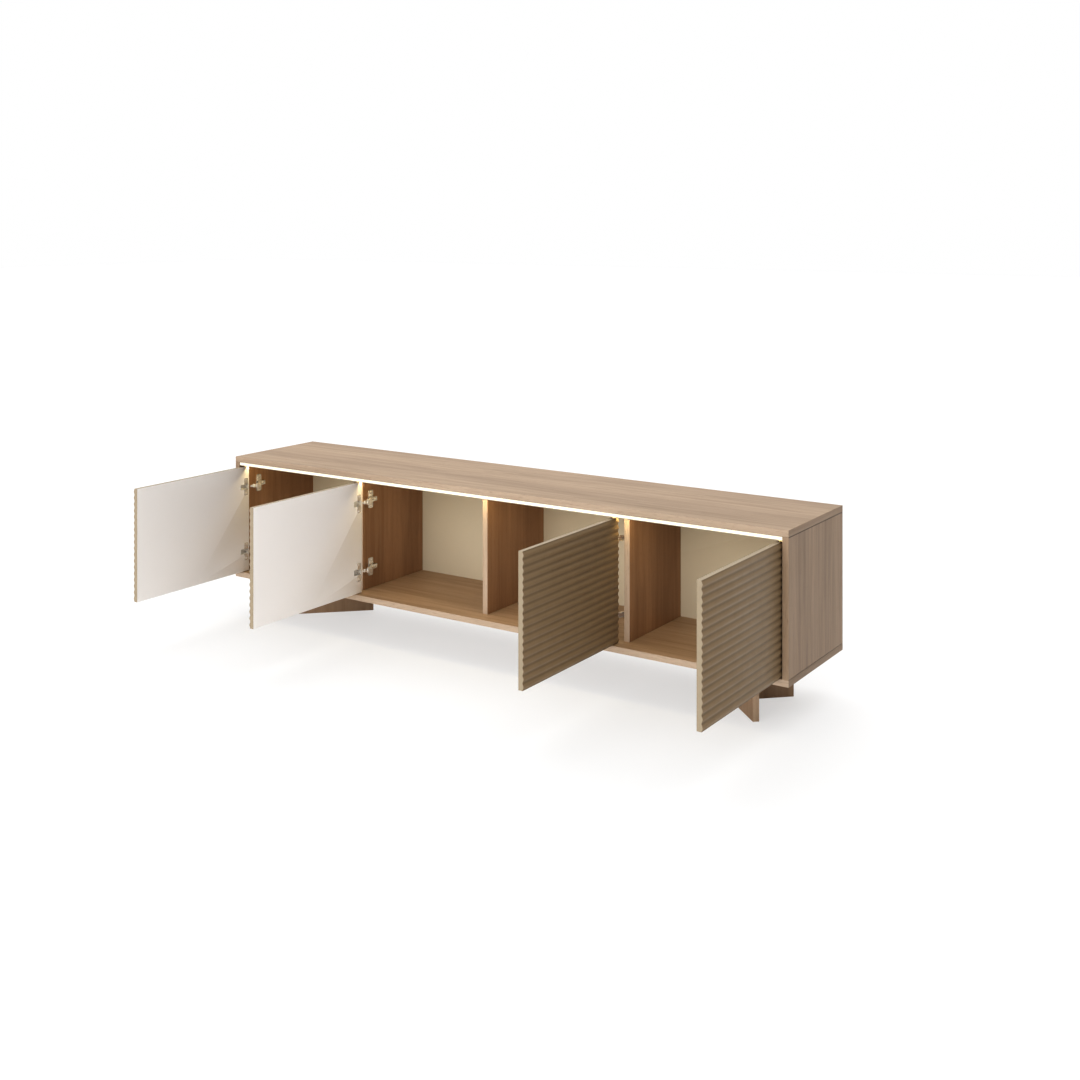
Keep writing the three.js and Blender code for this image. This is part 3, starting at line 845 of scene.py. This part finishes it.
anodised = plated("light_anodised", (0.40, 0.33, 0.26), (0.35, 0.29, 0.23), 0.45)
circuit_white = spotted("light_circuit_white", (0.85, 0.85, 0.82), (0.80, 0.80, 0.78), 200, 0.5)
black_sheath = spotted("light_black_plastic", (0.022, 0.022, 0.023), (0.015, 0.015, 0.016), 120, 0.5)
milky_glow = spotted("light_milky_glow", (0.50, 0.49, 0.42), (0.47, 0.46, 0.40), 60, 0.4)
glow = milky_glow.node_tree.nodes["Principled BSDF"]
glow.inputs["Emission Color"].default_value = (1.0, 0.95, 0.74, 1)
glow.inputs["Emission Strength"].default_value = 0.75
clothe("light_profile", anodised)
clothe("light_diffuser", milky_glow)
clothe("light_strip", circuit_white)
clothe("light_inlet", black_sheath)
clothe("light_lead", black_sheath)

lead_low, lead_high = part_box("light_lead")
lead_x = (lead_low.x + lead_high.x) / 2
under_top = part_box("top_board")[0].z
lead_z = lead_high.z - 0.0015  # the middle of the lead
lead_way = 0.0019  # radius of the groove in a clip
clip_places = (0.085, 0.19, 0.295)
clip_length = 0.006
for step, y in enumerate(clip_places):
    low = (lead_x - 0.0075, y, under_top - 0.0042)
    clip = slab("lead_clip", low, (lead_x + 0.0045, y + clip_length, under_top - 0.0001))
    cut_by(clip, rod("lead_way", lead_way, (lead_x, y - 0.01, lead_z), (lead_x, y + 0.02, lead_z), 20))
    ease_edges(clip, 0.0004, 2, 40)
    clip.data.materials.append(circuit_white)
    clip.name = clip.data.name = "lead_clip_" + str(step + 1)
    finish_piece(clip, "carcass", "light_strip")


# ---------------------------------------------------------------- legs
# Each leg is a long oak board set on the diagonal and a short one butted against its middle, both with
# upright grain. Two zinc-plated angle brackets fix each leg to the underside of the bottom board.
leg_tones = ((0.39, 0.268, 0.172), (0.25, 0.16, 0.095), (0.1, 0.06, 0.035))
leg_face = wood("leg_oak_upright", "Z", *leg_tones, figure=0.55)
leg_end = wood("leg_oak_edge", "Z", *oak_tones, figure=0.3)
zinc = plated("bracket_zinc", (0.60, 0.61, 0.62), (0.50, 0.51, 0.52), 0.42)
leg_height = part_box("leg_left_long_board")[1].z
leg_board_thickness = 0.018
leg_reach = 0.176
butt_clearance = 0.0003


def leg_board(name, node, centre, turn, low, high):
    """A board drawn square to the axes on the leg's own lines, then turned to its diagonal."""
    piece = slab(name, low, high)
    ease_edges(piece, 0.0007)
    piece.data.materials.append(leg_face)
    piece.data.materials.append(leg_end)
    size = Vector(high) - Vector(low)
    thin = 0 if size.x < size.y else 1
    for face in piece.data.polygons:
        face.material_index = 0 if abs(face.normal[thin]) > 0.8 else 1
    start_piece()
    piece.select_set(True)
    bpy.context.view_layer.objects.active = piece
    piece.matrix_world = Matrix.Translation(centre) @ Matrix.Rotation(turn, 4, "Z")
    return finish_piece(piece, "carcass", "leg_board", node)


for side, turn in (("left", -1), ("right", 1)):
    low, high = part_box("leg_%s_long_board" % side)
    centre = Vector(((low.x + high.x) / 2, (low.y + high.y) / 2, 0))
    angle = -turn * math.pi / 4
    half = leg_board_thickness / 2
    long_low, long_high = (-leg_reach, -half, 0), (leg_reach, half, leg_height)
    leg_board("leg_%s_long" % side, "leg_%s_long_board" % side, centre, angle, long_low, long_high)
    short_low, short_high = (-half, half + butt_clearance, 0), (half, leg_reach, leg_height)
    leg_board("leg_%s_short" % side, "leg_%s_short_board" % side, centre, angle, short_low, short_high)
    for end in ("front", "rear"):
        clothe("leg_%s_%s_bracket" % (side, end), zinc)


# ---------------------------------------------------------------- studio
# A plain pale floor under a sky that is dimmer on the right. The light comes softly from above and
# behind, from the front, from a lamp over the left end, and from a hidden lamp along the light strip.
start_piece()
bpy.ops.mesh.primitive_plane_add(size=60, location=(0, 0, 0))
floor = bpy.context.object
floor.name = "studio_floor"
floor_paint = spotted("studio_floor_white", (0.93, 0.93, 0.93), (0.92, 0.92, 0.92), 2, 0.8, 0.0)
nodes, links = floor_paint.node_tree.nodes, floor_paint.node_tree.links
paint = nodes["Principled BSDF"]
seen = nodes.new("ShaderNodeLightPath")
lift = nodes.new("ShaderNodeMath")
lift.operation = "MULTIPLY"
lift.inputs[1].default_value = 0.58
links.new(seen.outputs["Is Camera Ray"], lift.inputs[0])
shown = nodes.new("ShaderNodeMix")
shown.data_type = "RGBA"
shown.inputs["A"].default_value = (0.93, 0.93, 0.93, 1)
shown.inputs["B"].default_value = (0.34, 0.34, 0.34, 1)
links.new(seen.outputs["Is Camera Ray"], shown.inputs["Factor"])
links.new(shown.outputs["Result"], paint.inputs["Base Color"])
links.new(lift.outputs[0], paint.inputs["Emission Strength"])
paint.inputs["Emission Color"].default_value = (1, 1, 1, 1)
floor.data.materials.append(floor_paint)

world = bpy.data.worlds.new("studio_sky")
bpy.context.scene.world = world
world.use_nodes = True
nodes, links = world.node_tree.nodes, world.node_tree.links
sky = nodes["Background"]
compass = nodes.new("ShaderNodeTexCoord")
facing = nodes.new("ShaderNodeSeparateXYZ")
dimmed = nodes.new("ShaderNodeMapRange")
dimmed.inputs["From Min"].default_value = -0.2
dimmed.inputs["To Min"].default_value = 1.0
dimmed.inputs["To Max"].default_value = 0.62
sky_seen = nodes.new("ShaderNodeLightPath")
sky_level = nodes.new("ShaderNodeMapRange")
sky_level.inputs["To Min"].default_value = 0.85
sky_level.inputs["To Max"].default_value = 1.0
sky_shade = nodes.new("ShaderNodeMath")
sky_shade.operation = "MAXIMUM"
links.new(compass.outputs["Generated"], facing.inputs["Vector"])
links.new(facing.outputs["X"], dimmed.inputs["Value"])
links.new(dimmed.outputs["Result"], sky_shade.inputs[0])
links.new(sky_seen.outputs["Is Camera Ray"], sky_shade.inputs[1])
links.new(sky_seen.outputs["Is Camera Ray"], sky_level.inputs["Value"])
links.new(sky_shade.outputs[0], sky.inputs["Color"])
links.new(sky_level.outputs["Result"], sky.inputs["Strength"])


def soft_light(name, kind, towards, power, color=(1, 1, 1)):
    """A lamp at the origin that shines the given way. It can be moved afterwards."""
    lamp = bpy.data.lights.new(name, kind)
    lamp.energy = power
    lamp.color = color
    holder = bpy.data.objects.new(name, lamp)
    bpy.context.scene.collection.objects.link(holder)
    holder.rotation_euler = Vector(towards).to_track_quat("-Z", "Y").to_euler()
    return holder


overhead = soft_light("studio_overhead", "SUN", (0, -0.45, -1), 1.6)
overhead.data.angle = math.radians(70)
front_fill = soft_light("studio_front_fill", "SUN", (-0.05, 1, -0.36), 1.55)
front_fill.data.angle = math.radians(40)
left_lamp = soft_light("studio_left_lamp", "AREA", (0, 0, -1), 9)
left_lamp.location = (-1.6, 0.4, 2.6)
left_lamp.data.size = 2
strip_glow = soft_light("light_strip_glow", "AREA", (0, 0.17, -0.27), 1.5, (1.0, 0.83, 0.46))
strip_glow.location = (0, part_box("light_profile")[1].y + 0.004, under_top - 0.014)
strip_glow.data.shape = "RECTANGLE"
strip_glow.data.size = 1.95
strip_glow.data.size_y = 0.01

lens = bpy.data.cameras.new("studio_camera")
camera = bpy.data.objects.new("studio_camera", lens)
bpy.context.scene.collection.objects.link(camera)
camera.location = (2.419, -3.358, 1.3405)
camera.rotation_euler = (math.pi / 2, 0, 0.6005)
lens.sensor_width = 36
lens.lens = 46.29
lens.shift_x = 0.0365
lens.shift_y = -0.2969
bpy.context.scene.camera = camera
bpy.context.scene.view_settings.view_transform = "Standard"
bpy.context.scene.view_settings.gamma = 0.85
